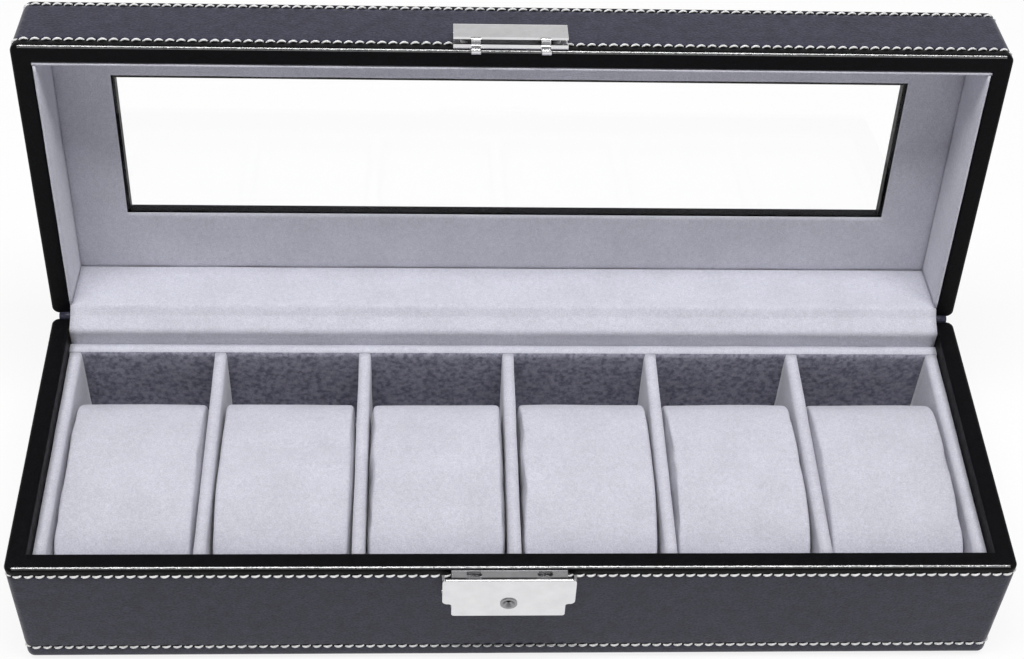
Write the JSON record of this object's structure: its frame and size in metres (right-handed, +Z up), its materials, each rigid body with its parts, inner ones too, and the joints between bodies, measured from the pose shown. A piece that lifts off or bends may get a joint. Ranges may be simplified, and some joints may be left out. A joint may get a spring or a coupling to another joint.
{
  "type": "watch box",
  "caption": "Low oblong watch box in stitched black leathercloth with a soft-hinged glass-topped lid, a press latch and velvet compartments that each hold a lift-out pillow.",
  "frame": {"origin": "centre of the base's underside, on the surface it stands on", "axes": "+X to the right along the length, +Y to the hinge at the back, +Z up; at rest the lid is open"},
  "size_m": [0.305, 0.1493, 0.1547],
  "materials": {
    "black_leather": "fine grained matt leathercloth",
    "fibreboard": "raw board",
    "glass": "clear, polished",
    "packing_card": "raw card",
    "pillow_velvet": "short-pile velvet over foam",
    "grey_velvet": "short-pile velvet",
    "spring_steel": "bright",
    "latch_metal": "polished nickel plate"
  },
  "bodies": {
    "base": {"base_front_board": "fibreboard", "base_back_board": "fibreboard", "base_left_board": "fibreboard", "base_right_board": "fibreboard", "base_floor_board": "fibreboard", "base_bottom_sheet": "black_leather", "base_leather_wrap": "black_leather", "base_floor_pad": "grey_velvet", "base_front_liner": "grey_velvet", "base_back_liner": "grey_velvet", "base_left_liner": "grey_velvet", "base_right_liner": "grey_velvet", "divider_1": "grey_velvet", "divider_2": "grey_velvet", "divider_3": "grey_velvet", "divider_4": "grey_velvet", "divider_5": "grey_velvet", "hinge_leather": "black_leather", "hinge_velvet": "grey_velvet", "lock_back_plate": "latch_metal", "lock_nails": "spring_steel", "lock_pivot_pin": "latch_metal"},
    "lid": {"lid_front_board": "fibreboard", "lid_back_board": "fibreboard", "lid_left_board": "fibreboard", "lid_right_board": "fibreboard", "lid_top_panel": "fibreboard", "lid_leather_wrap": "black_leather", "window_glass": "glass", "glass_packing": "packing_card", "window_liner": "grey_velvet", "lid_front_liner": "grey_velvet", "lid_left_liner": "grey_velvet", "lid_right_liner": "grey_velvet", "strike_plate": "latch_metal", "strike_nails": "spring_steel"},
    "latch": {"lock_press_plate": "latch_metal", "lock_spring": "spring_steel", "lock_spring_rivet": "latch_metal"},
    "pillow_1": {"watch_pillow_1": "pillow_velvet"},
    "pillow_2": {"watch_pillow_2": "pillow_velvet"},
    "pillow_3": {"watch_pillow_3": "pillow_velvet"},
    "pillow_4": {"watch_pillow_4": "pillow_velvet"},
    "pillow_5": {"watch_pillow_5": "pillow_velvet"},
    "pillow_6": {"watch_pillow_6": "pillow_velvet"}
  },
  "joints": [
    {"name": "lid_hinge", "type": "hinge", "parent": "base", "child": "lid", "pos_m": [0, 0.0521, 0.04815], "axis": [-1, 0, 0], "range_deg": [-97.5, 0], "deforming": ["hinge_leather", "hinge_velvet"]},
    {"name": "latch_press", "type": "hinge", "parent": "base", "child": "latch", "pos_m": [-0.0023, -0.0534, 0.0395], "axis": [1, 0, 0], "range_deg": [0, 7], "stiffness_Nm_per_rad": 0.15, "deforming": ["lock_spring"]},
    {"name": "pillow_1_lift", "type": "slide", "parent": "base", "child": "pillow_1", "axis": [0, 0, 1], "range_m": [0, 0.09]},
    {"name": "pillow_2_lift", "type": "slide", "parent": "base", "child": "pillow_2", "axis": [0, 0, 1], "range_m": [0, 0.09]},
    {"name": "pillow_3_lift", "type": "slide", "parent": "base", "child": "pillow_3", "axis": [0, 0, 1], "range_m": [0, 0.09]},
    {"name": "pillow_4_lift", "type": "slide", "parent": "base", "child": "pillow_4", "axis": [0, 0, 1], "range_m": [0, 0.09]},
    {"name": "pillow_5_lift", "type": "slide", "parent": "base", "child": "pillow_5", "axis": [0, 0, 1], "range_m": [0, 0.09]},
    {"name": "pillow_6_lift", "type": "slide", "parent": "base", "child": "pillow_6", "axis": [0, 0, 1], "range_m": [0, 0.09]}
  ]
}
